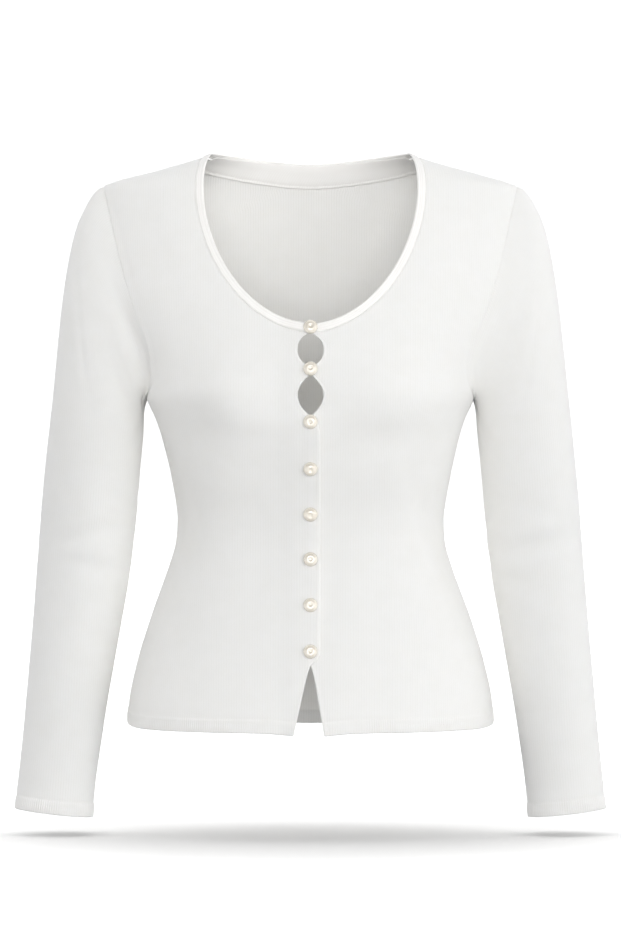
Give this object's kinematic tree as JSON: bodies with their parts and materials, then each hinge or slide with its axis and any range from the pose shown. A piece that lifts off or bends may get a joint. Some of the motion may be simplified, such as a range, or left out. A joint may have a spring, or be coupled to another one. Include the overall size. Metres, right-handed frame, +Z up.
{
  "type": "button cardigan",
  "caption": "Fitted long-sleeved cardigan in fine white knit with a deep scoop neck, half-ball pearl buttons, eye-shaped openings and a front slit, filled out as if worn.",
  "frame": {"origin": "middle of the neck opening, level with the neck ends of the shoulder seams, where the garment rests on the wearer", "axes": "+Z up towards the neck, -Y the way the wearer faces, +X to the wearer's left"},
  "size_m": [0.5468, 0.2378, 0.6154],
  "materials": {
    "knit": "fine white single-jersey knit with a faint upright rib and a soft nap",
    "pearl": "ivory imitation pearl, glossy"
  },
  "bodies": {
    "root": {"front_right": "knit", "front_left": "knit", "back": "knit", "sleeve_right": "knit", "sleeve_left": "knit", "neckband": "knit", "neck_facing": "knit", "button_1": "pearl", "button_2": "pearl", "button_3": "pearl", "button_4": "pearl", "button_5": "pearl", "button_6": "pearl", "button_7": "pearl", "button_8": "pearl"}
  },
  "joints": []
}
